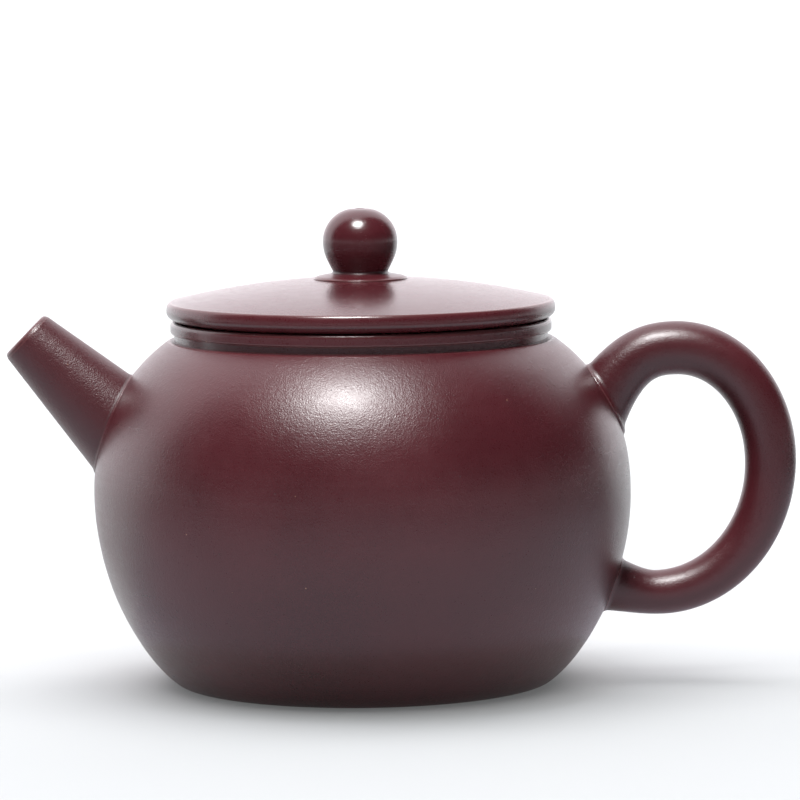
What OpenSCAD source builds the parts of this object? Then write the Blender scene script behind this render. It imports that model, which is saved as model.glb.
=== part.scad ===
// Round stoneware teapot built from slabs: a beaten belly between a base and a shoulder slab,
// a banded mouth, a straight spout with a ball strainer behind it, an ear handle and a lift-off lid.
// Origin: centre of the flat ring the pot stands on. +X points to the handle, -X to the spout, +Z up.

/* [Body] */
// Widest diameter of the belly
belly_d = 91.4; // [88:0.2:94]
// Height of the widest circle above the table
belly_z = 32.7; // [31:0.1:34]
// Diameter of the flat base
base_d = 63.6; // [61:0.2:66]
// Height of the shoulder's flat top, where the neck begins
shoulder_z = 58.3; // [57:0.1:60]
// Diameter of the shoulder at its flat top
shoulder_d = 65.4; // [65:0.1:66]
// Thickness of the belly wall
wall_t = 3; // [2.6:0.1:3.2]
// Thickness of the base slab
base_t = 3.4; // [3:0.1:3.8]
// Depth that the underside is pressed in, inside the standing ring
base_hollow = 0.8; // [0.4:0.1:1]
// Width of the flat standing ring
stand_w = 4.4; // [3:0.1:6]
// Height where the belly wall ends and the shoulder slab begins
shoulder_joint_z = 54.6; // [54:0.1:55.2]

/* [Mouth] */
// Inside diameter of the mouth
mouth_d = 55.2; // [54.8:0.1:55.6]
// Height of the recessed neck
neck_h = 1.3; // [1:0.1:1.6]
// Outside diameter of the recessed neck
neck_d = 63.4; // [63:0.1:64]
// Height of the projecting mouth band
band_h = 2.1; // [1.8:0.1:2.4]
// Outside diameter of the mouth band
band_d = 64.7; // [64.2:0.1:65]

/* [Lid] */
// Outside diameter of the lid
lid_d = 66; // [65.6:0.1:67]
// Height of the lid's rounded rim
rim_h = 3.2; // [3:0.1:3.4]
// Rise of the dome above the rim
dome_h = 3.8; // [3.4:0.1:4.2]
// Thickness of the domed slab
slab_t = 2.6; // [2.4:0.1:3]
// Depth of the collar below the seat
collar_depth = 8; // [6:0.5:9]
// Wall thickness of the collar
collar_t = 2.7; // [2.4:0.1:3]
// Gap all round between the collar and the mouth
lid_gap = 0.35; // [0.3:0.05:0.5]

/* [Knob] */
// Diameter of the thin disc under the knob
disc_d = 15.8; // [15:0.1:16.4]
// Widest diameter of the ball knob
knob_d = 12.7; // [12:0.1:13.4]
// Height of the ball knob above its disc
knob_h = 11; // [10.5:0.1:11.5]
// Diameter of the knob where it meets its disc
knob_foot_d = 9.4; // [9:0.1:9.8]
// Diameter of the breather hole
vent_d = 1.4; // [1:0.1:2]

/* [Spout] */
// Distance from the pot's axis to the centre of the spout's mouth
spout_reach = 57.1; // [56:0.1:58]
// Height of the centre of the spout's mouth
spout_z = 59.5; // [58.5:0.1:60.5]
// Angle that the spout rises above level
spout_rise = 44.5; // [43:0.5:46]
// Half of the angle between the spout's sides
spout_half_angle = 8.6; // [8:0.1:9]
// Outside diameter of the spout's mouth
spout_tip_d = 9.6; // [9.2:0.1:10]
// Wall thickness at the spout's mouth
spout_lip_t = 1.4; // [1.2:0.1:1.6]
// Half of the angle between the sides of the spout's bore
spout_bore_angle = 6; // [5:0.5:7]
// Height of the centre of the hole through the belly behind the spout
hole_z = 44.4; // [44:0.1:44.8]
// Diameter of that hole, which holds the ball strainer
hole_d = 13; // [12.4:0.1:13.4]
// Wall thickness of the ball strainer
strainer_t = 1.4; // [1.2:0.1:1.6]
// Diameter of each strainer hole
strainer_hole_d = 1.5; // [1.2:0.1:1.6]

/* [Handle] */
// Distance from the pot's axis to the highest point of the handle's centre line
crest_x = 53.6; // [53:0.1:54.2]
// Height of the centre line at its highest point
crest_z = 56.2; // [55.6:0.1:56.8]
// Distance from the pot's axis to the outermost point of the centre line
reach_x = 69.5; // [68.5:0.1:70.5]
// Height of the centre line at its outermost point
reach_z = 36.8; // [36:0.1:37.6]
// Distance from the pot's axis to the lowest point of the centre line
low_x = 49.9; // [49.4:0.1:50.4]
// Height of the centre line at its lowest point
low_z = 14.4; // [14:0.1:15]
// Thickness of the handle at its crest
crest_d = 9.1; // [8.8:0.1:9.4]
// Thickness of the handle at its outermost point
reach_d = 8.7; // [8.4:0.1:9]
// Thickness of the handle at its lowest point
low_d = 7.5; // [7.2:0.1:7.8]
// Thickness of the flared upper root
upper_root_d = 12; // [11.6:0.1:12.6]
// Thickness of the flared lower root
lower_root_d = 10.4; // [10:0.1:11]

/* [Hidden] */
$fn = 96;
CLAY = "#5f3236";
CLAY_DARK = "#4a272c";
CLAY_LIGHT = "#6d3b3e";
curve_steps = 14;
nose_steps = 6;
corner_steps = 4;
// Room added where a cut has to run past the face it opens
past = 1;

// A point on a cubic curve with end points a and d and pull points b and c
function bezier(a, b, c, d, t) =
    pow(1 - t, 3) * a + 3 * pow(1 - t, 2) * t * b + 3 * (1 - t) * t * t * c + pow(t, 3) * d;
// The direction of the same curve at t
function bezier_dir(a, b, c, d, t) =
    3 * pow(1 - t, 2) * (b - a) + 6 * (1 - t) * t * (c - b) + 3 * t * t * (d - c);
// The outward normal of a belly outline that climbs in +Z
function outward(dir) = [dir[1], -dir[0]] / norm(dir);
// Even steps from 0 to 1
function steps(n) = [for (i = [0:n]) i / n];
// The parameter where a climbing curve reaches height z, by halving the interval
function t_at(p, z, lo = 0, hi = 1, n = 24) =
    n == 0 ? (lo + hi) / 2
    : let (mid = (lo + hi) / 2)
        bezier(p[0], p[1], p[2], p[3], mid)[1] < z ? t_at(p, z, mid, hi, n - 1) : t_at(p, z, lo, mid, n - 1);

// Outline of the belly in two curves that meet at the widest circle
lower_pull = 7.6;
lower_lean = 33.6;
belly_pull_down = 15.3;
belly_pull_up = 12.6;
upper_pull = 8.2;
upper_lean = 34.8;
lower_curve = [
    [base_d / 2, 0],
    [base_d / 2 + lower_pull * cos(lower_lean), lower_pull * sin(lower_lean)],
    [belly_d / 2, belly_z - belly_pull_down],
    [belly_d / 2, belly_z]];
upper_curve = [
    [belly_d / 2, belly_z],
    [belly_d / 2, belly_z + belly_pull_up],
    [shoulder_d / 2 + upper_pull * cos(upper_lean), shoulder_z - upper_pull * sin(upper_lean)],
    [shoulder_d / 2, shoulder_z]];
function on_curve(p, t, inset = 0) =
    bezier(p[0], p[1], p[2], p[3], t) - inset * outward(bezier_dir(p[0], p[1], p[2], p[3], t));
// Points of one curve between two parameters, set in from the outside by inset
function curve_points(p, t0, t1, inset = 0) =
    [for (s = steps(curve_steps)) on_curve(p, t0 + (t1 - t0) * s, inset)];
function backwards(list) = [for (i = [len(list) - 1:-1:0]) list[i]];

// A short run of points along one curve, for a rounded edge
function nose(a, b, c, d) = [for (s = steps(nose_steps)) bezier(a, b, c, d, s)];
// Five points round a quarter circle inside a convex corner, from angle start onwards
function rounded_corner(corner, r, start) =
    let (centre = [corner[0] - r, start < 0 ? corner[1] + r : corner[1] - r])
        [for (s = steps(corner_steps)) centre + r * [cos(start + 90 * s), sin(start + 90 * s)]];

base_joint_t = t_at(lower_curve, base_t);
shoulder_joint_t = t_at(upper_curve, shoulder_joint_z);
wall_outer = concat(
    curve_points(lower_curve, base_joint_t, 1),
    curve_points(upper_curve, 0, shoulder_joint_t));
wall_inner = concat(
    curve_points(lower_curve, base_joint_t, 1, wall_t),
    curve_points(upper_curve, 0, shoulder_joint_t, wall_t));
inner_foot = wall_inner[0];
shoulder_inner = curve_points(upper_curve, shoulder_joint_t, 1, wall_t);
shoulder_outer = curve_points(upper_curve, shoulder_joint_t, 1);
mouth_r = mouth_d / 2;

// Heights and radii of the lid, worked up from the seat on the mouth band
seat_z = shoulder_z + neck_h + band_h;
lid_r = lid_d / 2;
// How far the rim's rounded nose stands out past its flat underside, and past the edge of the dome
nose_under = 1.3;
nose_over = 0.8;
seat_r = lid_r - nose_under;
rim_top_z = seat_z + rim_h;
rim_top_r = lid_r - nose_over;
// The dome's edge lies this deep in a step cut in the rim band
rebate_h = 1.7;
rebate_z = rim_top_z - rebate_h;
collar_r = mouth_r - lid_gap;
collar_inner_r = collar_r - collar_t;
vent_r = vent_d / 2;
disc_r = disc_d / 2;
// The dome of the lid, a shallow parabola sunk by drop
function dome_z(r) = rim_top_z + dome_h * (1 - pow(r / rim_top_r, 2));
function dome_points(r0, r1, drop) = [for (s = steps(curve_steps)) [r0 + (r1 - r0) * s,
    dome_z(r0 + (r1 - r0) * s) - drop]];
disc_z = dome_z(disc_r);
// Height of the disc at the knob's foot, and at the round-over near its edge
disc_h = 0.95;
disc_edge_h = 0.15;
disc_shoulder_h = 0.35;
disc_crown_h = 0.52;
knob_z = disc_z + disc_h;

// The belly's outside as one solid, which trims the roots of the spout and the handle
module belly_solid() {
    rotate_extrude($fn = 144)
        polygon(concat(
            [[0, 0]],
            curve_points(lower_curve, 0, base_joint_t),
            wall_outer,
            shoulder_outer,
            [[0, shoulder_z]]));
}

// Turns a shape drawn up +Z so that it runs from the belly's outside square through the wall
hole_t = t_at(upper_curve, hole_z);
hole_at = on_curve(upper_curve, hole_t);
hole_normal = outward(bezier_dir(upper_curve[0], upper_curve[1], upper_curve[2], upper_curve[3], hole_t));
module through_wall() {
    translate([-hole_at[0], 0, hole_at[1]])
        rotate([0, 90 + atan2(hole_normal[1], hole_normal[0]), 0])
            children();
}

// Turns a shape drawn up +Z so that it runs from the spout's mouth down into the pot
module along_spout() {
    translate([-spout_reach, 0, spout_z])
        rotate([0, 90 + spout_rise, 0])
            children();
}

// A ring or disc turned from an outline of [radius, height] points
module turned(points) {
    rotate_extrude()
        polygon(points);
}

// The belly: one even wall beaten round, pierced once behind the spout
module body_wall() {
    color(CLAY)
        difference() {
            turned(concat(wall_outer, backwards(wall_inner)));
            through_wall()
                translate([0, 0, -3 * past])
                    cylinder(d = hole_d, h = wall_t + 6 * past);
        }
}

// The base slab, dished to meet the wall, hollowed beneath so that it stands on a flat ring
module base_disc() {
    stand_r = base_d / 2 - stand_w;
    color(CLAY_DARK)
        turned(concat(
            [[0, base_hollow], [stand_r - 2, base_hollow], [stand_r, 0]],
            curve_points(lower_curve, 0, base_joint_t),
            [inner_foot, [inner_foot[0] - 2, base_t + 0.9], [inner_foot[0] - 5, base_t], [0, base_t]]));
}

// The shoulder slab with the mouth cut through it
module shoulder_disc() {
    edge_h = 2;
    under_cut = 0.5;
    color(CLAY)
        turned(concat(
            shoulder_outer,
            [[mouth_r, shoulder_z], [mouth_r, shoulder_z - edge_h],
                [mouth_r + under_cut, shoulder_z - edge_h - under_cut]],
            backwards(shoulder_inner)));
}

// The short neck, recessed under the mouth band
module neck_ring() {
    color(CLAY_DARK)
        translate([0, 0, shoulder_z])
            difference() {
                cylinder(d = neck_d, h = neck_h);
                translate([0, 0, -past])
                    cylinder(r = mouth_r, h = neck_h + 2 * past);
            }
}

// The band round the mouth, softened at both outer edges, that the lid sits on
module mouth_band() {
    band_r = band_d / 2;
    band_foot_z = shoulder_z + neck_h;
    under_round = 0.35;
    over_round = 0.6;
    color(CLAY_LIGHT)
        turned(concat(
            [[mouth_r, band_foot_z]],
            rounded_corner([band_r, band_foot_z], under_round, -90),
            rounded_corner([band_r, seat_z], over_round, 0),
            [[mouth_r, seat_z]]));
}

// The spout: a straight cone with a softened lip, trimmed to the belly
spout_length = 34;
spout_tip_r = spout_tip_d / 2;
spout_bore_r = spout_tip_r - spout_lip_t;
lip_round = 0.7;
function spout_r(s) = spout_tip_r + s * tan(spout_half_angle);
function bore_r(s) = spout_bore_r + s * tan(spout_bore_angle);
module spout() {
    color(CLAY)
        difference() {
            along_spout()
                turned(concat(
                    [[bore_r(0) + 0.2, 0]],
                    rounded_corner([spout_r(0), 0], lip_round, -90),
                    [[spout_r(spout_length), spout_length],
                        [bore_r(spout_length), spout_length],
                        [bore_r(lip_round), lip_round]]));
            belly_solid();
        }
}

// The pierced half ball set in the hole behind the spout, its skirt inside the wall's thickness
skirt_start = 1;
ball_depth = wall_t + 0.6;
// Angles up from the skirt where the ball turns, so that each ring of holes sits on one slope
ball_turns = [0, 20, 48, 74];
// How far each ring of holes leans from the crown, and how many holes it has
hole_rings = [[0, 1], [29, 6], [56, 12]];
function ball_points(r) = [for (a = ball_turns) [r * cos(a), ball_depth + r * sin(a)]];
module ball_strainer() {
    ball_r = hole_d / 2;
    bore = ball_r - strainer_t;
    outside = ball_points(ball_r);
    inside = ball_points(bore);
    color(CLAY_LIGHT)
        through_wall()
            difference() {
                turned(concat(
                    [[bore, skirt_start], [ball_r, skirt_start]],
                    outside,
                    [[0, outside[3][1]], [0, inside[3][1]]],
                    backwards(inside)));
                translate([0, 0, ball_depth])
                    strainer_holes(0.75 * bore, ball_r + past);
            }
}

// Rings of holes that fan out through the ball's wall, each starting short of its neighbours
module strainer_holes(from, to) {
    for (ring = hole_rings)
        for (i = [0:ring[1] - 1])
            rotate([0, ring[0], 360 * i / ring[1]])
                translate([0, 0, from])
                    cylinder(d = strainer_hole_d, h = to - from);
}

// The handle's centre line: a curve into each root and two quarter ellipses between them
round_pull = 0.5523;
upper_root = [38.8, 44.3];
lower_root = [39.5, 16.6];
crest = [crest_x, crest_z];
reach = [reach_x, reach_z];
low = [low_x, low_z];
handle_curves = [
    [upper_root, [crest_x - 9.2, crest_z - 1.6], [crest_x - 5.4, crest_z], crest],
    [crest, [crest_x + round_pull * (reach_x - crest_x), crest_z],
        [reach_x, reach_z + round_pull * (crest_z - reach_z)], reach],
    [reach, [reach_x, reach_z - round_pull * (reach_z - low_z)],
        [low_x + round_pull * (reach_x - low_x), low_z], low],
    [low, [low_x - 3.1, low_z], [low_x - 5.4, low_z + 1], lower_root]];
curve_cuts = [7, 9, 10, 4];
// The thickness along each curve: flared into the roots, easing thinner round the loop
function handle_d(curve, t) =
    curve == 0 ? crest_d + (upper_root_d - crest_d) * pow(1 - t, 4)
    : curve == 1 ? crest_d + (reach_d - crest_d) * t
    : curve == 2 ? reach_d + (low_d - reach_d) * t
    : low_d + (lower_root_d - low_d) * pow(t, 2);
module handle_ball(curve, t) {
    p = handle_curves[curve];
    at = bezier(p[0], p[1], p[2], p[3], t);
    translate([at[0], 0, at[1]])
        sphere(d = handle_d(curve, t), $fn = 28);
}
module handle() {
    color(CLAY_DARK)
        difference() {
            for (curve = [0:3])
                for (i = [1:curve_cuts[curve]])
                    hull() {
                        handle_ball(curve, (i - 1) / curve_cuts[curve]);
                        handle_ball(curve, i / curve_cuts[curve]);
                    }
            belly_solid();
        }
}

// The domed slab of the lid, with a flat land for the knob's disc and a breather hole
module lid_slab() {
    color(CLAY)
        turned(concat(
            [[vent_r, disc_z], [disc_r, disc_z]],
            dome_points(disc_r, rim_top_r, 0),
            [[rim_top_r, rebate_z], [collar_inner_r, rebate_z]],
            dome_points(collar_inner_r - 1.5, vent_r, slab_t)));
}

// The bull-nosed rim luted round the edge of the slab, whose underside rests on the mouth band
module lid_band() {
    nose_z = seat_z + rim_h / 2;
    color(CLAY_LIGHT)
        turned(concat(
            [[collar_r, seat_z]],
            nose([seat_r, seat_z], [lid_r - 0.4, seat_z], [lid_r, nose_z - 0.85], [lid_r, nose_z]),
            nose([lid_r, nose_z], [lid_r, nose_z + 0.9], [lid_r - 0.25, rim_top_z], [rim_top_r, rim_top_z]),
            [[rim_top_r, rebate_z], [collar_r, rebate_z]]));
}

// The collar that drops into the mouth, its lower outer edge eased so that it finds its way in
module lid_collar() {
    foot_z = seat_z - collar_depth;
    ease_in = 0.6;
    ease_up = 0.8;
    color(CLAY_DARK)
        turned([
            [collar_inner_r, foot_z],
            [collar_r - ease_in, foot_z],
            [collar_r, foot_z + ease_up],
            [collar_r, rebate_z],
            [collar_inner_r, rebate_z]]);
}

// The thin disc under the knob, thinning to its edge
module knob_disc() {
    color(CLAY_LIGHT)
        turned([
            [vent_r, disc_z],
            [disc_r, disc_z],
            [disc_r, disc_z + disc_edge_h],
            [disc_r - 0.2, disc_z + disc_shoulder_h],
            [disc_r - 0.6, disc_z + disc_crown_h],
            [knob_foot_d / 2 + 0.5, knob_z],
            [vent_r, knob_z]]);
}

// The ball knob, a little flattened on top and drawn in to a narrow foot
module knob() {
    knob_r = knob_d / 2;
    foot_r = knob_foot_d / 2;
    waist_z = knob_z + 0.45;
    widest_z = knob_z + knob_h / 2;
    top_z = knob_z + knob_h;
    // Where the outline is pulled on its way from the waist out to the widest circle and in to the top
    waist_pull = [foot_r + 0.9, waist_z + 1.75];
    under_pull = [knob_r, widest_z - 2.2];
    over_pull = [knob_r, widest_z + 3.15];
    top_pull = [knob_r * 0.58, top_z];
    vent_edge = 0.3;
    color(CLAY)
        turned(concat(
            [[vent_r, knob_z], [foot_r + 0.45, knob_z], [foot_r + 0.12, knob_z + 0.18]],
            nose([foot_r, waist_z], waist_pull, under_pull, [knob_r, widest_z]),
            nose([knob_r, widest_z], over_pull, top_pull, [vent_r + vent_edge, top_z]),
            [[vent_r, top_z - vent_edge]]));
}

body_wall();
base_disc();
shoulder_disc();
neck_ring();
mouth_band();
spout();
ball_strainer();
handle();
lid_slab();
lid_band();
lid_collar();
knob_disc();
knob();
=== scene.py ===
# %% [markdown]
# # A round clay teapot, piece by piece
# The pot is built as a slab potter builds it: a strip of clay beaten into a round belly, a slab below
# it and one above, bands luted round the mouth, a rolled spout, a pulled handle and a domed lid.
# The frame says where each of those pieces is. Here each of them gets its finished surface and clay.

# %% The frame, and what the file needs
import math

import bpy
import numpy as np
from mathutils import Matrix, Vector


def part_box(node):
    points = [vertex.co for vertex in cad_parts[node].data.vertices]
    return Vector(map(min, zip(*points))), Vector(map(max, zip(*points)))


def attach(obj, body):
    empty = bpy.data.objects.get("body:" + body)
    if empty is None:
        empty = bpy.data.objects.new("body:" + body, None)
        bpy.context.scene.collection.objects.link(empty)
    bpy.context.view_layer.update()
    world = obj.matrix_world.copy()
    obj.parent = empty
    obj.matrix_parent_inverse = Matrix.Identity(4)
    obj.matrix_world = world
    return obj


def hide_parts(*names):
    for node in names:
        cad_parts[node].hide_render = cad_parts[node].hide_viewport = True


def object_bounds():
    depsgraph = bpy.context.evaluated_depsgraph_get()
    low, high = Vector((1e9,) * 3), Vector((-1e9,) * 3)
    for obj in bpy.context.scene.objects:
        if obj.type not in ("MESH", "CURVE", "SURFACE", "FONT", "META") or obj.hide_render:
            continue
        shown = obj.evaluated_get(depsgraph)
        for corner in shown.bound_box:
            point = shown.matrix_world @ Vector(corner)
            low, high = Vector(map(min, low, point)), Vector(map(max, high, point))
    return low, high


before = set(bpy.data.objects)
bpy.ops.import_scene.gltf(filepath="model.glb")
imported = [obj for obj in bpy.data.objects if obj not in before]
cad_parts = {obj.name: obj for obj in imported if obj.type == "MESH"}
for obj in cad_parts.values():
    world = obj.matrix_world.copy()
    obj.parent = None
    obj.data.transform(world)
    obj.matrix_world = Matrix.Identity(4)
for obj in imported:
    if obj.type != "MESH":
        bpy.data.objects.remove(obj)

MM = 0.001
cad_box = [list(corner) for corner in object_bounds()]
print("frame nodes:", ", ".join(sorted(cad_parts)))

# %% [markdown]
# ## The camera
# A long lens from just above the lid keeps the outline of the belly almost true, as a catalogue view
# does. The horizon leans by about half a degree, because a hand-levelled camera is never quite level.

# %% The camera
view_distance = 0.8288
view_elevation = math.radians(5.738)
view_lean = math.radians(-0.568)
lens_length = 219.4
aim = Vector((
    (cad_box[0][0] + cad_box[1][0]) / 2 - 0.33 * MM,
    0,
    0.5935 * cad_box[1][2]))
to_camera = Vector((0, -math.cos(view_elevation), math.sin(view_elevation)))
camera = bpy.data.objects.new("camera", bpy.data.cameras.new("camera"))
bpy.context.collection.objects.link(camera)
camera.matrix_world = (
    Matrix.Translation(aim + view_distance * to_camera)
    @ to_camera.to_track_quat("Z", "Y").to_matrix().to_4x4()
    @ Matrix.Rotation(view_lean, 4, "Z"))
camera.data.lens = lens_length
camera.data.clip_start = 0.01
bpy.context.scene.camera = camera
print(f"aimed at x {aim.x / MM:.2f}, z {aim.z / MM:.2f} mm")

# %% [markdown]
# ## Sizes taken from the frame
# Where one piece sits on the next is read from the boxes of the frame's nodes, so each finished
# surface meets its neighbour exactly where the frame's does.

# %% Sizes taken from the frame
def top(node):
    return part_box(node)[1].z


def radius(node):
    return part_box(node)[1].x


belly_r = radius("body_wall")
shoulder_z = top("shoulder_disc")
neck_r, neck_z = radius("neck_ring"), top("neck_ring")
band_r, seat_z = radius("mouth_band"), top("mouth_band")
lid_r, rim_z = radius("lid_band"), top("lid_band")
collar_r, collar_foot_z = radius("lid_collar"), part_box("lid_collar")[0].z
disc_r, disc_z = radius("knob_disc"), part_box("knob_disc")[0].z
knob_r, knob_z, knob_top = radius("knob"), top("knob_disc"), top("knob")
print(f"belly {belly_r / MM:.2f}, mouth band {band_r / MM:.2f}, lid {lid_r / MM:.2f} mm in radius")

# %% [markdown]
# ## Curves and corners
# A beaten wall has no corners: its outline is two long curves that meet at the widest circle. A cubic
# curve is enough for each, since its two pull points set how it leaves one end and reaches the other.
# Trimmed clay does have corners, but a wet finger softens each one, so every corner is a short curve.

# %% Curves and corners
def bezier(points, t):
    """A cubic curve: the mean of four points, weighted by the powers of t and 1 - t."""
    a, b, c, d = (np.asarray(p, float) for p in points)
    t = np.asarray(t, float)[..., None]
    return (1 - t) ** 3 * a + 3 * (1 - t) ** 2 * t * b + 3 * (1 - t) * t ** 2 * c + t ** 3 * d


def heading(points, t):
    """The direction of travel along the same curve: its derivative, scaled to length 1."""
    a, b, c, d = (np.asarray(p, float) for p in points)
    t = np.asarray(t, float)[..., None]
    v = (1 - t) ** 2 * (b - a) + 2 * (1 - t) * t * (c - b) + t ** 2 * (d - c)
    return v / np.linalg.norm(v, axis=-1, keepdims=True)


def inset(points, t, depth):
    """The curve moved inwards by depth, square to its heading."""
    v = heading(points, t)
    return bezier(points, t) - depth * np.stack([v[..., 1], -v[..., 0]], -1)


def rounded(start, corner, end, steps=6):
    """A softened corner: (1 - t)^2 start + 2 t (1 - t) corner + t^2 end."""
    t = np.linspace(0, 1, steps + 1)[:, None]
    start, corner, end = np.asarray(start), np.asarray(corner), np.asarray(end)
    return (1 - t) ** 2 * start + 2 * t * (1 - t) * corner + t ** 2 * end


def softened(corners, radii, spacing=0.4 * MM, closed=True):
    """An outline through corners. Each is rounded from a point its radius before it to a point its
    radius after it, and the straights between are filled with points about spacing apart."""
    corners = np.asarray(corners, float)
    runs = []
    for here, before, after, r in zip(corners, np.roll(corners, 1, 0), np.roll(corners, -1, 0), radii):
        back, on = before - here, after - here
        if r:
            back, on = r * back / np.linalg.norm(back), r * on / np.linalg.norm(on)
            runs.append(rounded(here + back, here, here + on))
        else:
            runs.append(here[None])
    filled = []
    for run, following in zip(runs, runs[1:] + runs[:1]):
        gap = following[0] - run[-1]
        count = max(1, int(np.linalg.norm(gap) / spacing))
        filled += [run, run[-1] + np.arange(1, count)[:, None] / count * gap]
    return np.concatenate(filled if closed else filled[:-1])


def across(start, end, count=5):
    """Points strictly between two points of an outline."""
    t = np.linspace(0, 1, count + 2)[1:-1, None]
    return (1 - t) * start + t * end


print("a softened corner has", len(rounded([0, 0], [1, 0], [1, 1])), "points")

# %% [markdown]
# ## From a grid of points to a mesh
# Every piece is a grid of points: one parameter runs along an outline or a path, the other goes round.
# Neighbours are joined into four-sided faces, and the last ring is joined to the first where the
# outline closes. How sharply the outline turns is kept with each point. The clay's finish paints
# proud edges lighter, a painted highlight that is partly burnish wear, and paints folds darker, as
# painted shade, and it makes proud edges smoother and folds rougher.

# %% From a grid of points to a mesh
smooth_below = math.radians(38)
edge_scale = 0.45 * MM


def edge_strength(rings, closed):
    """How sharply the surface turns along the outline: the change of heading at each point, taken
    along the surface's normal and divided by the distance. Proud edges are positive, folds negative."""
    ahead, behind = np.roll(rings, -1, 0) - rings, rings - np.roll(rings, 1, 0)
    if not closed:
        ahead[-1], behind[0] = behind[-1], ahead[0]
    far, near = (np.maximum(np.linalg.norm(v, axis=-1, keepdims=True), 1e-9) for v in (ahead, behind))
    turn = ahead / far - behind / near
    normal = np.cross(np.roll(rings, -1, 1) - np.roll(rings, 1, 1), ahead + behind)
    normal /= np.maximum(np.linalg.norm(normal, axis=-1, keepdims=True), 1e-12)
    strength = -(turn * normal).sum(-1) / ((far + near)[..., 0] / 2)
    return np.clip(strength * edge_scale, -1, 1)


def clay_mesh(name, points, quads, tris, edges):
    """Puts points and faces into a mesh whose faces all point outwards. Six times the volume is the
    sum of each triangle's triple product, and where that is negative every face is turned over."""
    corners = points[np.concatenate([quads[:, [0, 1, 2]], quads[:, [0, 2, 3]], tris])]
    volume = np.einsum("ij,ij->", corners[:, 0], np.cross(corners[:, 1], corners[:, 2])) / 6
    if volume < 0:
        quads, tris, edges = quads[:, ::-1], tris[:, ::-1], -edges
    mesh = bpy.data.meshes.new(name)
    counts = np.concatenate([np.full(len(quads), 4), np.full(len(tris), 3)])
    mesh.vertices.add(len(points))
    mesh.vertices.foreach_set("co", points.astype(np.float32).ravel())
    mesh.loops.add(int(counts.sum()))
    mesh.loops.foreach_set("vertex_index", np.concatenate([quads.ravel(), tris.ravel()]).astype(np.int32))
    mesh.polygons.add(len(counts))
    mesh.polygons.foreach_set("loop_start", (np.cumsum(counts) - counts).astype(np.int32))
    mesh.update(calc_edges=True)
    mesh.attributes.new("edge", "FLOAT", "POINT").data.foreach_set("value", edges.astype(np.float32))
    mesh.polygons.foreach_set("use_smooth", np.ones(len(counts), bool))
    mesh.set_sharp_from_angle(angle=smooth_below)
    piece = bpy.data.objects.new(name, mesh)
    bpy.context.collection.objects.link(piece)
    print(f"{name}: {2 * len(quads) + len(tris)} triangles, {abs(volume) * 1e6:.2f} ml of clay")
    return piece


def grid_piece(name, rings, ends=()):
    """A piece from rings of points. Without ends the last ring joins the first. With two end points
    the grid stays open, and its first and last rings are closed by fans round those points."""
    n, m = rings.shape[:2]
    i, j = np.meshgrid(np.arange(n - 1 if len(ends) else n), np.arange(m), indexing="ij")
    i2, j2 = (i + 1) % n, (j + 1) % m
    quads = np.stack([i * m + j, i * m + j2, i2 * m + j2, i2 * m + j], -1).reshape(-1, 4)
    edges = edge_strength(rings, not len(ends)).ravel()
    if not len(ends):
        return clay_mesh(name, rings.reshape(-1, 3), quads, np.zeros((0, 3), int), edges)
    k, k2 = np.arange(m), (np.arange(m) + 1) % m
    first = np.stack([k2, k, np.full(m, n * m)], -1)
    last = np.stack([(n - 1) * m + k, (n - 1) * m + k2, np.full(m, n * m + 1)], -1)
    points = np.concatenate([rings.reshape(-1, 3), np.asarray(ends, float)])
    return clay_mesh(name, points, quads, np.concatenate([first, last]), np.append(edges, [0, 0]))


def turned(profile, segments=288):
    """A profile of [radius, height] points carried once round the Z axis."""
    angle = 2 * np.pi * np.arange(segments) / segments
    r, z = profile[:, :1], profile[:, 1:]
    return np.stack([r * np.cos(angle), r * np.sin(angle), z + 0 * angle], -1)


# %% [markdown]
# ## The potter's hand
# A beaten wall is never a perfect surface of revolution. A few slow waves, some hundredths of a
# millimetre high, are enough to loosen the edge of a highlight. All the belly's pieces share them, so
# the joins stay closed, and they die away at the table and at the mouth, where pieces have to fit.

# %% The potter's hand
hand_wave = 0.03 * MM
wave_reach = 1 + 0.7 + 0.5


def by_hand(rings):
    """Draws points in along their radius by a sum of slow waves in angle and height, times a window
    that is zero at the table and at the shoulder's top."""
    x, y, z = rings[..., 0], rings[..., 1], rings[..., 2]
    angle, up = np.arctan2(y, x), z / MM
    waves = (
        np.sin(3 * angle + 0.11 * up + 0.4)
        + 0.7 * np.sin(7 * angle - 0.23 * up + 2.1)
        + 0.5 * np.sin(11 * angle + 0.41 * up + 4.0)
        - wave_reach)
    window = np.clip(z / (8 * MM), 0, 1) * np.clip((shoulder_z - z) / (5 * MM), 0, 1)
    grow = 1 + hand_wave * waves * window / np.maximum(np.hypot(x, y), 1 * MM)
    return np.stack([x * grow, y * grow, z], -1)


print(f"the hand draws the wall in by up to {2 * wave_reach * hand_wave / MM:.2f} mm")

# %% [markdown]
# ## The belly's outline
# Below the widest circle the wall closes in steadily to a broad foot, and above it the wall turns over
# into a shoulder. Knowing how far any point stands off this outline is also what lets the spout and
# the handle be cut to the belly.

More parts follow.
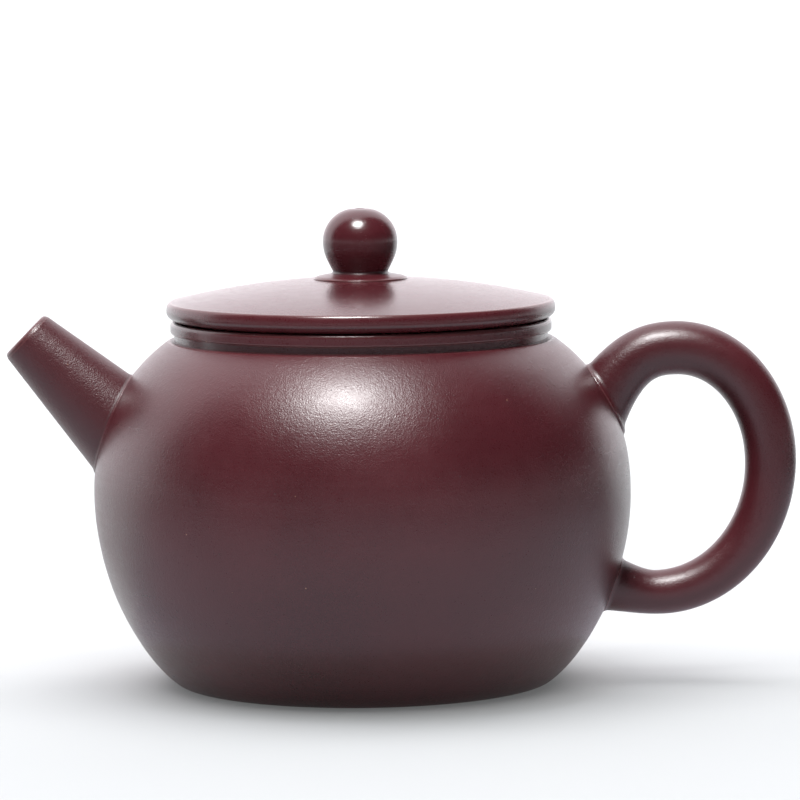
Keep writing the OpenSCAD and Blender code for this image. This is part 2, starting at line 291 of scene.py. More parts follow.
# %% The belly's outline
base_r = 31.8 * MM
wall_t = 3 * MM
base_t = 3.4 * MM
widest_z = 32.7 * MM
shoulder_r = 32.7 * MM
mouth_r = collar_r + 0.35 * MM
shoulder_join_z = 54.6 * MM
low_lean, high_lean = math.radians(33.6), math.radians(34.8)
lower_curve = [
    (base_r, 0),
    (base_r + 7.6 * MM * math.cos(low_lean), 7.6 * MM * math.sin(low_lean)),
    (belly_r, widest_z - 15.3 * MM),
    (belly_r, widest_z)]
upper_curve = [
    (belly_r, widest_z),
    (belly_r, widest_z + 12.6 * MM),
    (shoulder_r + 8.2 * MM * math.cos(high_lean), shoulder_z - 8.2 * MM * math.sin(high_lean)),
    (shoulder_r, shoulder_z)]
fine = np.linspace(0, 1, 2001)
outline = np.concatenate([bezier(lower_curve, fine), bezier(upper_curve, fine)[1:]])
outline_climb = np.concatenate([heading(lower_curve, fine), heading(upper_curve, fine)[1:]])[:, 1]


def reaches(curve, z):
    """The parameter at which a climbing curve reaches height z, read off the curve itself."""
    return float(np.interp(z, bezier(curve, fine)[:, 1], fine))


def clear_of_belly(points):
    """How far points stand off the belly: their radius less the outline's at their height, times how
    steeply the outline climbs there, which turns a level distance into a square one."""
    r = np.interp(points[..., 2], outline[:, 1], outline[:, 0])
    climb = np.interp(points[..., 2], outline[:, 1], outline_climb)
    return (np.hypot(points[..., 0], points[..., 1]) - r) * climb


base_join, shoulder_join = reaches(lower_curve, base_t), reaches(upper_curve, shoulder_join_z)
inside = np.concatenate([inset(lower_curve, fine, wall_t), inset(upper_curve, fine, wall_t)[1:]])
inside = inside[inside[:, 1] > base_t]
cup = np.pi * ((inside[1:, 0] ** 2 + inside[:-1, 0] ** 2) / 2 * np.diff(inside[:, 1])).sum()
print(f"the belly holds about {cup * 1e6:.0f} ml to the shoulder")

# %% [markdown]
# ## The belly: base slab, beaten wall, shoulder slab
# The wall starts as a strip rolled into a drum, and is beaten on a wheel until it closes in above and
# below. A slab is luted over each end and the joins are beaten away, so the outside runs on as one
# curve. The three pieces share their rings of points at each join, and the points crowd together
# there, so that no line shows, yet each piece is there to be lifted out.

# %% The beaten wall
around_belly = 360


def wall_run(depth, count):
    """Points up the wall from join to join, set in by depth. They crowd together near both joins."""
    ease = np.linspace(0, 1, count) ** 2
    low = inset(lower_curve, base_join + ease * (1 - base_join), depth)
    high = inset(upper_curve, (1 - ease[::-1]) * shoulder_join, depth)
    return np.concatenate([low, high[1:]])


wall_outside, wall_inside = wall_run(0, 66), wall_run(wall_t, 26)
wall_outline = np.concatenate([
    wall_outside, across(wall_outside[-1], wall_inside[-1]),
    wall_inside[::-1], across(wall_inside[0], wall_outside[0])])
belly_wall = grid_piece("belly_wall", by_hand(turned(wall_outline, around_belly)))

# %% The base slab
stand_w = 4.4 * MM
hollow = 0.8 * MM
axis_gap = 0.4 * MM
foot_start = 0.035
underneath = softened(
    [[axis_gap, hollow], [base_r - stand_w - 2 * MM, hollow], [base_r - stand_w, 0],
     [base_r - 0.3 * MM, 0]],
    [0, 1.5 * MM, 0.7 * MM, 0], closed=False)
side = bezier(lower_curve, foot_start + (base_join - foot_start) * (1 - np.linspace(1, 0, 18) ** 2))
foot_edge = rounded([base_r - 0.3 * MM, 0], [base_r, 0], side[0])
inner_foot = wall_inside[0]
dish = bezier(
    [inner_foot, inner_foot - np.array([1.6, 1.6]) * MM,
     (inner_foot[0] - 4.4 * MM, base_t), (inner_foot[0] - 7 * MM, base_t)], np.linspace(0, 1, 16))
floor_run = softened([dish[-1], [axis_gap, base_t]], [0, 0], closed=False)
base_outline = np.concatenate([
    underneath, foot_edge[:-1], side, across(side[-1], inner_foot), dish[:-1], floor_run,
    [[axis_gap, base_t]]])
base_slab = grid_piece(
    "base_slab", by_hand(turned(base_outline, around_belly)), ends=[[0, 0, hollow], [0, 0, base_t]])

# %% The shoulder slab
corner_start = 0.985
up_shoulder = shoulder_join + (corner_start - shoulder_join) * np.linspace(0, 1, 30) ** 1.6
shoulder_outside = bezier(upper_curve, up_shoulder)
shoulder_inside = inset(upper_curve, shoulder_join + (1 - shoulder_join) * np.linspace(0, 1, 18), wall_t)
shoulder_corner = rounded(
    shoulder_outside[-1], [shoulder_r, shoulder_z], [shoulder_r - 0.3 * MM, shoulder_z])
mouth_edge = softened(
    [[mouth_r, shoulder_z], [mouth_r, shoulder_z - 2 * MM], [mouth_r + 0.5 * MM, shoulder_z - 2.5 * MM],
     shoulder_inside[-1]], [0, 0.4 * MM, 0.2 * MM, 0], closed=False)
shoulder_outline = np.concatenate([
    shoulder_outside[:-1], shoulder_corner, across(shoulder_corner[-1], mouth_edge[0]), mouth_edge,
    shoulder_inside[::-1], across(shoulder_inside[0], shoulder_outside[0])])
shoulder_slab = grid_piece("shoulder_slab", by_hand(turned(shoulder_outline, around_belly)))

# %% [markdown]
# ## The bands round the mouth
# A short recessed neck lifts the mouth off the shoulder, and a round-edged band on top takes the lid.
# Both are strips luted on and turned true with a wet tool. The recess is what draws the dark line
# between band and shoulder, so the neck is a real step in the clay.

# %% The neck and the mouth band
neck_outline = softened(
    [[mouth_r, shoulder_z], [neck_r, shoulder_z], [neck_r, neck_z], [mouth_r, neck_z]],
    [0, 0, 0, 0], 0.3 * MM)
neck = grid_piece("neck_ring", turned(neck_outline))
band_outline = softened(
    [[mouth_r, neck_z], [band_r, neck_z], [band_r, seat_z], [mouth_r, seat_z]],
    [0, 0.38 * MM, 0.8 * MM, 0.3 * MM], 0.25 * MM)
mouth_band = grid_piece("mouth_band", turned(band_outline, around_belly))

# %% [markdown]
# ## The spout
# The spout is a slab rolled round a tapered stick. Its root is cut to the belly's curve and luted
# over the hole, and the join is wiped with a damp tool, which leaves a fine cove. So each line down
# the cone is followed until it meets the belly, and near that place the clay swells in a small
# curve.

# %% The cove at a luted join
def cove(gap, size):
    """The swell of a cove, a parabola: nothing where the gap to the belly is over size, and
    size / 2 * (1 - gap / size)^2 closer in."""
    return size / 2 * np.clip(1 - gap / size, 0, 1) ** 2


def meets_belly(surface, low, high, depth=0.0):
    """For each line of a surface, how far along it lies depth under the belly's skin. The point at
    high is outside and the one at low inside, and the interval between them is halved 40 times."""
    for _ in range(40):
        middle = (low + high) / 2
        outside = clear_of_belly(surface(middle)) > -depth
        low, high = np.where(outside, low, middle), np.where(outside, middle, high)
    return (low + high) / 2


# %% The spout
spout_mouth = np.array([-57.1, 0, 59.5]) * MM
spout_rise = math.radians(44.5)
lip_r, lip_t, lip_round = 4.8 * MM, 1.3 * MM, 0.7 * MM
cone_slope, bore_slope = math.tan(math.radians(8.6)), math.tan(math.radians(6))
down = np.array([math.cos(spout_rise), 0, -math.sin(spout_rise)])
over = np.array([math.sin(spout_rise), 0, math.cos(spout_rise)])
sideways = np.array([0, 1, 0])
round_spout = 2 * np.pi * np.arange(160) / 160
spout_cove = 0.5 * MM


def spout_point(s, r):
    """The point at distance s down from the spout's mouth and r out from its axis, for each angle."""
    spoke = np.cos(round_spout)[..., None] * over + np.sin(round_spout)[..., None] * sideways
    return spout_mouth + (s[..., None] * down + r[..., None] * spoke)


def cone_r(s):
    return lip_r + cone_slope * s


def bore_r(s):
    return lip_r - lip_t + bore_slope * s


def luted_cone(s):
    """The outside of the spout with its cove, at distance s along each line."""
    plain = spout_point(s, cone_r(s))
    return spout_point(s, cone_r(s) + cove(clear_of_belly(plain), spout_cove))


flat = np.zeros(len(round_spout))
root = meets_belly(luted_cone, flat + 34 * MM, flat + 8 * MM)
ease = np.linspace(0, 1, 90)[:, None]
ease = 0.55 * ease + 0.45 * np.sin(ease * np.pi / 2)
side_rings = luted_cone(lip_round + ease * (root - lip_round))
turn = np.linspace(np.pi / 2, 0, 9)[:-1, None]
lip_rings = spout_point(
    lip_round * (1 - np.sin(turn)) + flat, lip_r - lip_round * (1 - np.cos(turn)) + flat)
inner_round = 0.3 * MM
turn = np.linspace(0, np.pi / 2, 7)[:, None]
throat_rings = spout_point(
    inner_round * (1 - np.sin(turn)) + flat,
    lip_r - lip_t + inner_round * (1 - np.cos(turn)) + flat)
sunk = 0.6 * MM
bore_end = meets_belly(lambda s: spout_point(s, bore_r(s)), flat + 34 * MM, flat + 8 * MM) + sunk
up_bore = inner_round + np.linspace(1, 0, 50)[:-1, None] * (bore_end - inner_round)
bore_rings = spout_point(up_bore, bore_r(up_bore))
seat_rings = spout_point(root + sunk, cone_r(root) + spout_cove)[None]
spout = grid_piece(
    "spout", np.concatenate([lip_rings, side_rings, seat_rings, bore_rings, throat_rings]))
print(f"the spout is {root.max() / MM:.1f} mm long below and {root.min() / MM:.1f} mm above")

# %% [markdown]
# ## The hole in the wall and the ball strainer
# Behind the spout a pierced half ball keeps the leaves back. It is pressed from a thin disc and set
# into the hole from inside. The ball is a turned shape laid square to the wall, and its holes and the
# wall's are cut with real pegs, since light and tea both go through them.

# %% Pegs that cut holes
def pegs(name, starts, ends, peg_r, sides=20):
    """Round pegs from each start to its end, as one mesh: two rings of points square to each peg's
    axis, joined by a band of faces, and a fan at both ends."""
    starts, ends = np.asarray(starts, float), np.asarray(ends, float)
    axis = (ends - starts) / np.linalg.norm(ends - starts, axis=1, keepdims=True)
    side = np.cross(axis, np.where(np.abs(axis[:, 1:2]) < 0.9, [[0, 1, 0]], [[1, 0, 0]]))
    side /= np.linalg.norm(side, axis=1, keepdims=True)
    angle = 2 * np.pi * np.arange(sides) / sides
    spoke = (
        np.cos(angle)[None, :, None] * side[:, None]
        + np.sin(angle)[None, :, None] * np.cross(axis, side)[:, None])
    rings = np.stack([starts[:, None] + peg_r * spoke, ends[:, None] + peg_r * spoke], 1)
    points = np.concatenate([rings.reshape(len(starts), -1, 3), starts[:, None], ends[:, None]], 1)
    k, k2 = np.arange(sides), (np.arange(sides) + 1) % sides
    quads = np.stack([k, k2, k2 + sides, k + sides], -1)
    tris = np.concatenate([
        np.stack([k2, k, np.full(sides, 2 * sides)], -1),
        np.stack([k + sides, k2 + sides, np.full(sides, 2 * sides + 1)], -1)])
    step = np.arange(len(starts))[:, None, None] * points.shape[1]
    return clay_mesh(
        name, points.reshape(-1, 3), (quads + step).reshape(-1, 4), (tris + step).reshape(-1, 3),
        np.zeros(points.shape[0] * points.shape[1]))


def drill(piece, cutter):
    """Cuts the cutter out of the piece for good, and takes the cutter away."""
    cut = piece.modifiers.new("holes", "BOOLEAN")
    cut.operation, cut.solver, cut.object = "DIFFERENCE", "EXACT", cutter
    evaluated = piece.evaluated_get(bpy.context.evaluated_depsgraph_get())
    piece.data = bpy.data.meshes.new_from_object(evaluated)
    piece.modifiers.clear()
    bpy.data.objects.remove(cutter)
    piece.data.set_sharp_from_angle(angle=smooth_below)
    print(f"{piece.name}: drilled, now {len(piece.data.polygons)} faces")


# %% The hole and the strainer
hole_z = 44.4 * MM
ball_r, ball_t = 6.5 * MM, 1.4 * MM
ball_depth = wall_t + 0.6 * MM
hole_t = reaches(upper_curve, hole_z)
hole_at, climb = bezier(upper_curve, [hole_t])[0], heading(upper_curve, [hole_t])[0]
hole = np.array([-hole_at[0], 0, hole_at[1]])
inward = np.array([climb[1], 0, climb[0]])
across_hole = np.cross(inward, sideways)


def in_hole(points):
    """Turned points laid along the hole's own axis, so that their height becomes depth in the wall."""
    return hole + points[..., :1] * across_hole + points[..., 1:2] * sideways + points[..., 2:] * inward


drill(belly_wall, pegs("wall_peg", [hole - 3 * MM * inward], [hole + 7 * MM * inward], ball_r, 72))
quarter = np.linspace(0, np.pi / 2, 25)[:-1]
bowl_outside = np.stack([ball_r * np.cos(quarter), ball_depth + ball_r * np.sin(quarter)], -1)
bowl_inside = np.stack([
    (ball_r - ball_t) * np.cos(quarter), ball_depth + (ball_r - ball_t) * np.sin(quarter)], -1)
skirt = 1 * MM
strainer_outline = np.concatenate([
    bowl_inside[::-1], [[ball_r - ball_t, skirt], [ball_r, skirt]], bowl_outside])
strainer = grid_piece("ball_strainer", in_hole(turned(strainer_outline, 96)), ends=[
    hole + (ball_depth + ball_r - ball_t) * inward, hole + (ball_depth + ball_r) * inward])
lean = np.radians(np.repeat([0, 29, 56], [1, 6, 12]))
spin = 2 * np.pi * np.concatenate([[0], np.arange(6) / 6, np.arange(12) / 12])
rays = np.stack([np.sin(lean) * np.cos(spin), np.sin(lean) * np.sin(spin), np.cos(lean)], -1)
centre = np.array([0, 0, ball_depth])
leaf_hole_r = 0.75 * MM
drill(strainer, pegs(
    "strainer_pegs", in_hole(centre + 0.6 * ball_r * rays), in_hole(centre + 1.2 * ball_r * rays),
    leaf_hole_r))

# %% [markdown]
# ## The handle
# The handle is a rope of clay rolled thinner towards one end, bent over a former like an ear and luted
# on while it is soft. It is a round section carried along four curves that run on from one another,
# and it flares a little into each root. The ends stop inside the wall's thickness.

# %% The handle
crest, far_side, low_point = (np.array(p) * MM for p in ((53.6, 56.2), (69.45, 36.8), (49.9, 14.4)))
round_pull = 0.5523
handle_curves = [
    [(38.8 * MM, 44.3 * MM), crest - np.array([9.2, 1.6]) * MM, crest - np.array([5.4, 0]) * MM, crest],
    [crest, (crest[0] + round_pull * (far_side[0] - crest[0]), crest[1]),
     (far_side[0], far_side[1] + round_pull * (crest[1] - far_side[1])), far_side],
    [far_side, (far_side[0], far_side[1] - round_pull * (far_side[1] - low_point[1])),
     (low_point[0] + round_pull * (far_side[0] - low_point[0]), low_point[1]), low_point],
    [low_point, low_point - np.array([3.1, 0]) * MM, low_point - np.array([5.4, -1]) * MM,
     (39.5 * MM, 16.6 * MM)]]
quick_t = np.linspace(0, 1, 401)
handle_thickness = np.concatenate([
    9.1 + 2.9 * (1 - quick_t) ** 4, (9.1 - 0.4 * quick_t)[1:], (8.7 - 1.2 * quick_t)[1:],
    (7.5 + 2.9 * quick_t ** 2)[1:]]) * MM
middle_line = np.concatenate([bezier(c, quick_t)[(i > 0):] for i, c in enumerate(handle_curves)])
middle_way = np.concatenate([heading(c, quick_t)[(i > 0):] for i, c in enumerate(handle_curves)])
middle_length = np.append(0, np.cumsum(np.linalg.norm(np.diff(middle_line, axis=0), axis=1)))
handle_length = middle_length[-1]
round_handle = 2 * np.pi * np.arange(96) / 96
root_coves = np.array([0.9, 0.8]) * MM


def handle_point(s, swell=0.0):
    """The point at distance s along the rope for each angle round it, swell outside its plain skin."""
    x, z, way_x, way_z, thick = (
        np.interp(s, middle_length, v) for v in (*middle_line.T, *middle_way.T, handle_thickness))
    out = (thick / 2 + swell) * np.cos(round_handle)
    return np.stack([x + out * way_z, (thick / 2 + swell) * np.sin(round_handle), z - out * way_x], -1)


def luted_rope(s):
    """The rope with its coves: the swell depends on how near the plain skin is to the belly."""
    size = np.where(s < handle_length / 2, *root_coves)
    return handle_point(s, cove(clear_of_belly(handle_point(s)), size))


flat = np.zeros(len(round_handle))
root_depth = 1.2 * MM
upper_root = meets_belly(luted_rope, flat, flat + 22 * MM, root_depth)
lower_root = meets_belly(luted_rope, flat + handle_length, flat + handle_length - 14 * MM, root_depth)
run = np.linspace(0, 1, 260)[:, None]
run = 0.35 * run + 0.65 * (1 - np.cos(np.pi * run)) / 2
handle_rings = luted_rope(upper_root + run * (lower_root - upper_root))
handle = grid_piece("handle", handle_rings, ends=[handle_rings[0].mean(0), handle_rings[-1].mean(0)])
print(f"the rope is {handle_length / MM:.0f} mm long")

# %% [markdown]
# ## The lid
# A slab pressed into a shallow dish makes the dome, and a round-nosed strip luted round its edge
# makes the rim. Where the two meet, a shallow valley catches the light. Below, a collar drops into
# the mouth and keeps the lid from falling off when the pot is tipped. Its lower edge is eased so that
# it finds its way in.

# %% The lid
dome_h = 3.8 * MM
slab_t = 2.6 * MM
vent_r = 0.7 * MM
dome_edge = lid_r - 0.8 * MM
step_z = rim_z - 1.7 * MM
collar_inner = collar_r - 2.7 * MM
nose_z = seat_z + 1.6 * MM
nose_foot = lid_r - 2.2 * MM


def dome(r, sink=0.0):
    """The dome's height over radius, a parabola: the rim's height plus dome_h (1 - (r / edge)^2)."""
    return np.stack([r, rim_z + dome_h * (1 - (r / dome_edge) ** 2) - sink], -1)


dome_outline = np.concatenate([
    softened([[vent_r, disc_z], [disc_r, disc_z]], [0, 0], closed=False),
    dome(np.linspace(disc_r, dome_edge, 90)),
    softened([[dome_edge, step_z], [collar_inner, step_z]], [0, 0], closed=False),
    [[collar_inner, step_z]],
    dome(np.linspace(collar_inner - 1.5 * MM, vent_r, 60), slab_t)])
lid_dome = grid_piece("lid_dome", turned(dome_outline, around_belly))
along_nose = np.linspace(0, 1, 22)
rim_outline = np.concatenate([
    softened([[collar_r, step_z], [collar_r, seat_z], [nose_foot, seat_z]], [0, 0, 0], closed=False),
    bezier([(nose_foot, seat_z), (lid_r - 0.9 * MM, seat_z + 0.1 * MM),
            (lid_r, nose_z - 0.85 * MM), (lid_r, nose_z)], along_nose),
    bezier([(lid_r, nose_z), (lid_r, nose_z + 0.9 * MM),
            (lid_r - 0.25 * MM, rim_z), (dome_edge, rim_z)], along_nose)[1:],
    softened([[dome_edge, step_z], [collar_r + 0.4 * MM, step_z]], [0, 0], closed=False)])
lid_rim = grid_piece("lid_rim", turned(rim_outline, around_belly))
collar_outline = softened(
    [[collar_inner, collar_foot_z], [collar_r - 0.6 * MM, collar_foot_z],
     [collar_r, collar_foot_z + 0.8 * MM], [collar_r, step_z], [collar_inner, step_z]],
    [0.4 * MM, 0.25 * MM, 0.25 * MM, 0, 0])
lid_collar = grid_piece("lid_collar", turned(collar_outline))

# %% [markdown]
# ## The knob
# The knob is a little ball pinched in at its foot, standing on a thin disc. A straw pushed down
# through ball, disc and dome makes the breather, without which the tea wouldn't run. The ball is a
# turned outline in two curves, since it is flatter above than a sphere.

# %% The knob and its disc
disc_outline = softened(
    [[vent_r, disc_z], [disc_r, disc_z], [disc_r, disc_z + 0.2 * MM],
     [disc_r - 0.55 * MM, disc_z + 0.52 * MM], [5.2 * MM, knob_z], [vent_r, knob_z]],
    [0, 0.05 * MM, 0.12 * MM, 0.3 * MM, 0, 0], 0.2 * MM)
knob_disc = grid_piece("knob_disc", turned(disc_outline))
knob_foot = 4.7 * MM
waist_z = knob_z + 0.45 * MM
widest = knob_z + (knob_top - knob_z) / 2
along_ball = np.linspace(0, 1, 44)
vent_edge = 0.3 * MM
knob_outline = np.concatenate([
    across(np.array([vent_r, knob_z]), np.array([knob_foot + 0.45 * MM, knob_z]), 8),
    rounded([knob_foot + 0.45 * MM, knob_z], [knob_foot, knob_z + 0.05 * MM], [knob_foot, waist_z]),
    bezier([(knob_foot, waist_z), (knob_foot + 0.9 * MM, waist_z + 1.75 * MM),
            (knob_r, widest - 2.2 * MM), (knob_r, widest)], along_ball)[1:],
    bezier([(knob_r, widest), (knob_r, widest + 3.15 * MM),
            (0.58 * knob_r, knob_top), (vent_r + vent_edge, knob_top)], along_ball)[1:],
    rounded([vent_r + vent_edge, knob_top], [vent_r, knob_top], [vent_r, knob_top - vent_edge])[1:],
    across(np.array([vent_r, knob_top - vent_edge]), np.array([vent_r, knob_z]), 24)])
knob = grid_piece("knob", turned(knob_outline))

# %% [markdown]
# ## Writing a finish as sums
# A material is a net of small nodes, and most of those nodes only add and multiply. Wrapping a socket
# in a class whose operators add the Math nodes lets a finish be written as ordinary sums.

# %% Writing a finish as sums
class Wire:
    """An output socket that can stand in an expression. Each operator adds a Math node."""

    def __init__(self, tree, socket=None):
        self.tree, self.socket = tree, socket

    def node(self, kind, settings=None, sockets=None, output=0):
        """Adds a node, makes its settings, fills its sockets by name or number with constants or
        wires, and gives back one output."""
        node = self.tree.nodes.new(kind)
        for name, value in (settings or {}).items():
            setattr(node, name, value)
        for name, value in (sockets or {}).items():
            if isinstance(value, Wire):
                self.tree.links.new(value.socket, node.inputs[name])
            else:
                node.inputs[name].default_value = value
        return Wire(self.tree, node.outputs[output] if node.outputs else None)

    def math(self, operation, a, b=0.0):
        return self.node("ShaderNodeMath", {"operation": operation}, {0: a, 1: b})

    def __add__(self, other):
        return self.math("ADD", self, other)

    def __sub__(self, other):
        return self.math("SUBTRACT", self, other)

    def __rsub__(self, other):
        return self.math("SUBTRACT", other, self)

    def __mul__(self, other):
        return self.math("MULTIPLY", self, other)

    def __truediv__(self, other):
        return self.math("DIVIDE", self, other)

    def __pow__(self, other):
        return self.math("POWER", self, other)

    __radd__, __rmul__ = __add__, __mul__

    def blend(self, low, high):
        """This wire as the share of high in a mix of two colours."""
        return self.node("ShaderNodeMix", {"data_type": "RGBA"}, {0: self, 6: low, 7: high}, 2)

    def between(self, low, high):
        """0 at low and 1 at high, with a soft step between."""
        return self.node(
            "ShaderNodeMapRange", {"interpolation_type": "SMOOTHSTEP"}, {0: self, 1: low, 2: high})


print("wires are ready")

# %% [markdown]
# ## The clay
# The pot is left unglazed. Its clay is full of iron and fires to a dark red-brown with a purple cast,
# dense but not glassy. Seen close it has fine sand that sparkles in a highlight, small pits where
# grains came away, and rare pale specks. Before firing it is rubbed with a horn tool that closes the
# skin and leaves it with a low sheen, most of all along proud edges. Each of these is a pattern in
# Object coordinates at its own real size, and they are mixed into the colour, the roughness and a
# height in metres, which a Bump node turns into a change of normal.

# %% The clay
per_mm = 1 / MM
micron = 1e-6
clay_ior = 1.6
coat_rough, coat_ior = 0.18, 1.45


def clay(name, dark, light, rough, sand, ring_marks, sheen):
    """A clay finish. dark and light are its two tones, rough its roughness, sand the height of its
    grain in microns, ring_marks the depth of the turning lines in microns, sheen its coat."""
    material = bpy.data.materials.new(name)
    material.use_nodes = True
    tree = material.node_tree
    tree.nodes.clear()
    wire = Wire(tree)
    place = wire.node("ShaderNodeTexCoord", output="Object")

    def noise(scale, detail=2.0, roughness=0.5):
        return wire.node(
            "ShaderNodeTexNoise", {},
            {"Vector": place, "Scale": scale, "Detail": detail, "Roughness": roughness})

    def scattered(size, radius, share):
        """Round marks, one in the middle of each cell of a size, in this share of the cells."""
        voronoi = "ShaderNodeTexVoronoi", {"feature": "F1"}, {"Vector": place, "Scale": 1 / size}
        near, colour = wire.node(*voronoi), wire.node(*voronoi, 1)
        pick = wire.node("ShaderNodeSeparateColor", {}, {0: colour})
        mark = 1 - near.between(0.5 * radius / size, radius / size)
        return mark * pick.between(1 - share, 1.01 - share)

    edge = wire.node("ShaderNodeAttribute", {"attribute_name": "edge"}, output="Fac")
    proud, fold = edge.between(0.16, 0.75), (0 - edge).between(0.1, 0.7)
    tone = noise(34, 3.0).between(0.3, 0.7)
    mottle = noise(0.42 * per_mm, 3.0, 0.6)
    grain = noise(4.2 * per_mm, 2.0, 0.6)
    sand_tops = grain.between(0.56, 0.72)
    specks = scattered(1.5 * MM, 0.13 * MM, 0.045)
    pits = scattered(1.15 * MM, 0.15 * MM, 0.09)

    x, y, z = (wire.node("ShaderNodeSeparateXYZ", {}, {0: place}, i) for i in range(3))
    r = (x * x + y * y) ** 0.5 + 0.1 * MM
    turned_place = wire.node(
        "ShaderNodeCombineXYZ", {}, {0: r * (2.6 * per_mm), 1: z * (2.6 * per_mm), 2: x / r * 2.2})
    lines = wire.node(
        "ShaderNodeTexNoise", {"noise_dimensions": "4D"},
        {"Vector": turned_place, "W": y / r * 2.2, "Scale": 1.0, "Detail": 2.0})

    colour = (0.55 * tone + 0.3 * mottle + 0.25 * grain - 0.05).blend(dark, light)
    # Proud edges are painted lighter here: a painted highlight along the edges, partly burnish wear.
    colour = (0.18 * proud).blend(colour, (0.23, 0.1, 0.095, 1))
    # Folds are painted darker here: painted shade in the creases.
    colour = (0.45 * fold).blend(colour, (0.03, 0.012, 0.014, 1))
    colour = (0.7 * specks).blend(colour, (0.52, 0.3, 0.2, 1))
    # Pits are painted near black: painted shade in the pits, which the bump also sinks.
    colour = (0.75 * pits).blend(colour, (0.018, 0.008, 0.009, 1))
    gloss = (
        rough + 0.1 * (mottle - 0.5) + 0.06 * (tone - 0.5) - 0.09 * proud + 0.12 * fold
        + 0.08 * (lines - 0.5) + 0.3 * pits - 0.06 * sand_tops)
    height = micron * (
        sand * (grain + 0.5 * noise(1.4 * per_mm, 1.0)) - 30 * pits + 6 * specks + ring_marks * lines)
    normal = wire.node("ShaderNodeBump", {}, {"Strength": 1.0, "Distance": 1.0, "Height": height})
    surface = wire.node("ShaderNodeBsdfPrincipled", {}, {
        "Base Color": colour, "Roughness": gloss, "Normal": normal, "IOR": clay_ior,
        "Coat Weight": sheen, "Coat Roughness": coat_rough, "Coat IOR": coat_ior})
    wire.node("ShaderNodeOutputMaterial", {}, {"Surface": surface})
    print(f"{name}: {len(tree.nodes)} nodes")
    return material


# %% [markdown]
# ## Each piece's own finish
# It is one clay throughout, but each piece was worked in its own way. The belly is beaten and
# burnished, the bands are turned and rubbed hard, the spout and the handle are smoothed by hand, and
# the strainer is left as it was. The four numbers of each finish are its roughness, the height of its
# sand and the depth of its turning lines, both in microns, and its sheen.

# %% Each piece's own finish
dark_tone, light_tone = (0.046, 0.0056, 0.0086, 1), (0.081, 0.0122, 0.0172, 1)
finishes = {
    "body_clay": clay("burnished belly clay", dark_tone, light_tone, 0.32, 54, 2.5, 0.1),
    "trim_clay": clay("turned band clay", dark_tone, light_tone, 0.28, 20, 3.5, 0.2),
    "spout_clay": clay("spout clay", dark_tone, light_tone, 0.38, 74, 0, 0.06),
    "handle_clay": clay("handle clay", dark_tone, light_tone, 0.33, 50, 0, 0.08),
    "lid_clay": clay("lid clay", dark_tone, light_tone, 0.25, 22, 3.5, 0.3),
    "inner_clay": clay("unburnished clay", dark_tone, light_tone, 0.6, 30, 0, 0)}
worn_by = [
    (belly_wall, "body_wall", "pot", "body_clay"), (base_slab, "base_disc", "pot", "body_clay"),
    (shoulder_slab, "shoulder_disc", "pot", "body_clay"), (neck, "neck_ring", "pot", "trim_clay"),
    (mouth_band, "mouth_band", "pot", "trim_clay"), (spout, "spout", "pot", "spout_clay"),
    (strainer, "ball_strainer", "pot", "inner_clay"), (handle, "handle", "pot", "handle_clay"),
    (lid_dome, "lid_slab", "lid", "lid_clay"), (lid_rim, "lid_band", "lid", "trim_clay"),
    (lid_collar, "lid_collar", "lid", "trim_clay"), (knob_disc, "knob_disc", "lid", "trim_clay"),
    (knob, "knob", "lid", "lid_clay")]
for piece, node, body, slot in worn_by:
    piece.data.materials.clear()
    piece.data.materials.append(finishes[slot])
    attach(piece, body)
    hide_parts(node)
print(len(worn_by), "pieces ride on their bodies")

# %% [markdown]
# ## The studio
# The pot stands on a pale table in a bright room. Reflections of that room draw the light rims of the
# belly and the pale top of the lid. In front hangs a dark tent, out of the camera's sight, which
# keeps the middle of the belly deep in colour. Two cards lie before the pot, seen by nothing but
# reflections, and they paint the lower belly's reflection: a glowing one close in paints a pale
# reflection there, and a dark one beyond it paints a dark reflection.

# %% The pale table and the dark tent
def sheet(name, grid):
    """An open sheet from a grid of points, joined only between neighbours."""
    n, m = grid.shape[:2]
    i, j = np.meshgrid(np.arange(n - 1), np.arange(m - 1), indexing="ij")
    quads = np.stack([i * m + j, (i + 1) * m + j, (i + 1) * m + j + 1, i * m + j + 1], -1)
    mesh = bpy.data.meshes.new(name)
    mesh.from_pydata(grid.reshape(-1, 3).tolist(), [], quads.reshape(-1, 4).tolist())
    mesh.polygons.foreach_set("use_smooth", np.ones(len(mesh.polygons), bool))
    piece = bpy.data.objects.new(name, mesh)
    bpy.context.collection.objects.link(piece)
    return piece


def plain(name, colour, glow):
    """A matt studio surface that gives off some light of its own, its glow."""
    material = bpy.data.materials.new(name)
    material.use_nodes = True
    surface = material.node_tree.nodes["Principled BSDF"]
    for socket, value in {
            "Base Color": colour, "Roughness": 0.7, "Specular IOR Level": 0.2,
            "Emission Color": glow, "Emission Strength": 1.0}.items():
        surface.inputs[socket].default_value = value
    return material


table_r = np.append(np.linspace(0.01, 0.5, 12), [1, 2, 4, 8])[:, None]
table_angle = np.linspace(0, 2 * np.pi, 97)
table = sheet("table", np.stack([
    table_r * np.cos(table_angle), table_r * np.sin(table_angle), 0 * table_r * table_angle], -1))
table.data.materials.append(plain("pale table", (0.6, 0.62, 0.625, 1), (0.1, 0.105, 0.105, 1)))
tent_r = 2.4
tent_side = np.radians(np.linspace(-100, 128, 41))
tent_up = np.radians(np.linspace(3, 88, 20))[:, None]
tent = sheet("dark_tent", tent_r * np.stack([
    np.cos(tent_up) * np.sin(tent_side), -np.cos(tent_up) * np.cos(tent_side),
    np.sin(tent_up) + 0 * tent_side], -1))
dark_cloth = plain("dark tent", (0.02, 0.02, 0.02, 1), (0.02, 0.02, 0.023, 1))
tent.data.materials.append(dark_cloth)
tent.visible_camera = False
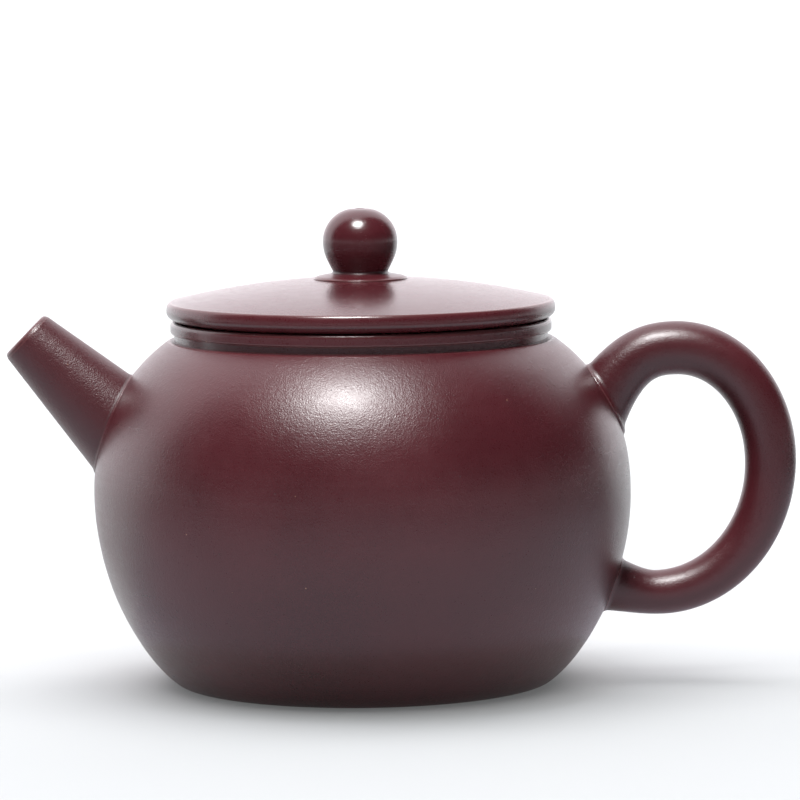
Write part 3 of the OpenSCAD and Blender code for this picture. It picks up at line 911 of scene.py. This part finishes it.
# This card glows and is seen only in reflections: its glow paints a pale reflection on the lower belly.
glow_reflection_card = plain("glowing reflection card", (0.02, 0.02, 0.02, 1), (0.7, 0.68, 0.76, 1))
glow_card_start, glow_card_end = 0.045, 0.24
# The dark card is a dark sheet seen only in reflections: a painted dark reflection on the lower belly.
cards = (("dark_card", glow_card_end, tent_r, dark_cloth), ("glow_reflection_card", glow_card_start, glow_card_end, glow_reflection_card))
for name, start, end, finish in cards:
    card_r = np.linspace(start, end, 12)[:, None]
    card = sheet(name, np.stack([
        card_r * np.sin(tent_side), -card_r * np.cos(tent_side), 1 * MM + 0 * card_r * tent_side], -1))
    card.data.materials.append(finish)
    card.visible_camera = card.visible_diffuse = card.visible_shadow = False
print(f"the glowing reflection card runs from {glow_card_start / MM:.0f} to {glow_card_end / MM:.0f} mm before the pot's axis")

# %% [markdown]
# ## The lights
# One soft box, high and a little to the left, lays the highlight on the shoulder. It shines on the
# clay alone, and a wide lamp straight above shines on the table alone, where the clay's shadow falls.
# In this way the pot and the table are each as bright as they need to be. The room is the world's light.

# %% The room's light and the soft box
clay_pieces = [piece for piece, *_ in worn_by]


def shines_on(lamp, lit, blocking):
    """Keeps a lamp's light to some pieces, with shadows from some pieces only."""
    for side, pieces in (("receiver_collection", lit), ("blocker_collection", blocking)):
        group = bpy.data.collections.new(f"{lamp.name} {side}")
        for piece in pieces:
            group.objects.link(piece)
        setattr(lamp.light_linking, side, group)


def soft_box(name, azimuth, elevation, distance, size, watts):
    """A rectangular lamp aimed at the pot. Azimuth is from the front, positive towards the handle."""
    lamp = bpy.data.lights.new(name, "AREA")
    lamp.shape = "RECTANGLE"
    lamp.size, lamp.size_y = size
    lamp.energy = watts
    a, e = math.radians(azimuth), math.radians(elevation)
    out = Vector((math.sin(a) * math.cos(e), -math.cos(a) * math.cos(e), math.sin(e)))
    box = bpy.data.objects.new(name, lamp)
    bpy.context.collection.objects.link(box)
    box.matrix_world = (
        Matrix.Translation(Vector((0, 0, 0.045)) + distance * out)
        @ out.to_track_quat("Z", "Y").to_matrix().to_4x4())
    box.visible_camera = False
    shines_on(box, clay_pieces, clay_pieces)
    print(f"{name}: {watts / (math.pi * size[0] * size[1]):.1f} units of radiance")


soft_box("key_box", -14, 67, 1.1, (0.31, 0.29), 18.5)
table_lamp = bpy.data.lights.new("table_lamp", "SUN")
table_lamp.energy, table_lamp.angle = 3.1, math.radians(70)
table_light = bpy.data.objects.new("table_lamp", table_lamp)
bpy.context.collection.objects.link(table_light)
shines_on(table_light, [table], clay_pieces)
print(f"the table's lamp is {math.degrees(table_lamp.angle):.0f} degrees wide")
room = bpy.data.worlds.new("room")
bpy.context.scene.world = room
room.use_nodes = True
room.node_tree.nodes["Background"].inputs["Color"].default_value = (1, 0.96, 1, 1)
room.node_tree.nodes["Background"].inputs["Strength"].default_value = 1.6
bpy.context.scene.view_settings.view_transform = "Standard"
